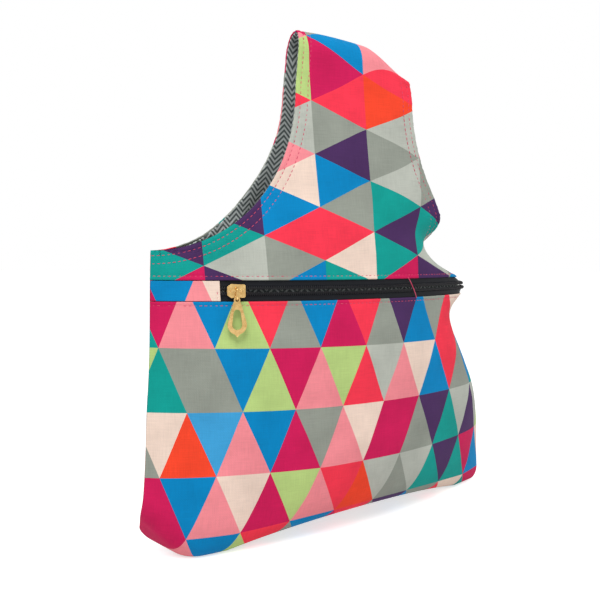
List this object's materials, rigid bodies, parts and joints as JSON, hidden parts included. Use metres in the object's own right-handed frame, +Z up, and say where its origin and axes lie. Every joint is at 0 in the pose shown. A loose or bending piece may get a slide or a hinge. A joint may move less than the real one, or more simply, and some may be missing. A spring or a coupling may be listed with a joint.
{
  "type": "wrist project bag",
  "caption": "Sewn printed-cotton wrist bag with a wide loop handle, a lined main compartment and a front pocket closed by a coil zip with a teardrop pull.",
  "frame": {"origin": "centre of the base, on the surface that the bag stands on", "axes": "+Z up through the handle loop; the zip pocket faces -Y; +X runs to the right of someone who looks at the pocket"},
  "size_m": [0.2776, 0.0746, 0.316],
  "materials": {
    "print": "matte printed cotton",
    "lining": "matte herringbone cotton",
    "tape": "black nylon, satin",
    "gold": "polished"
  },
  "bodies": {
    "bag": {"front_pocket_panel": "print", "front_yoke_panel": "print", "back_panel": "print", "zip_end_tab": "print", "front_lining": "lining", "back_lining": "lining", "pocket_lining": "lining", "zip_tape_upper": "tape", "zip_tape_lower": "tape", "zip_chain_upper": "tape", "zip_chain_lower": "tape"},
    "slider": {"slider_body": "gold"},
    "link": {"pull_link": "gold"},
    "pull": {"pull_tab": "gold"}
  },
  "joints": [
    {"name": "slider_travel", "type": "hinge", "parent": "bag", "child": "slider", "pos_m": [0, 0.23438, 0.162], "axis": [0, 0, 1], "range_deg": [0, 39]},
    {"name": "link_swing", "type": "hinge", "parent": "slider", "child": "link", "pos_m": [-0.08459, -0.02592, 0.16231], "axis": [-0.9516, 0.3073, 0], "range_deg": [0, 170]},
    {"name": "pull_swing", "type": "hinge", "parent": "link", "child": "pull", "pos_m": [-0.0847, -0.02626, 0.15687], "axis": [0.3095, 0.9487, -0.0649], "range_deg": [-90, 90]}
  ]
}
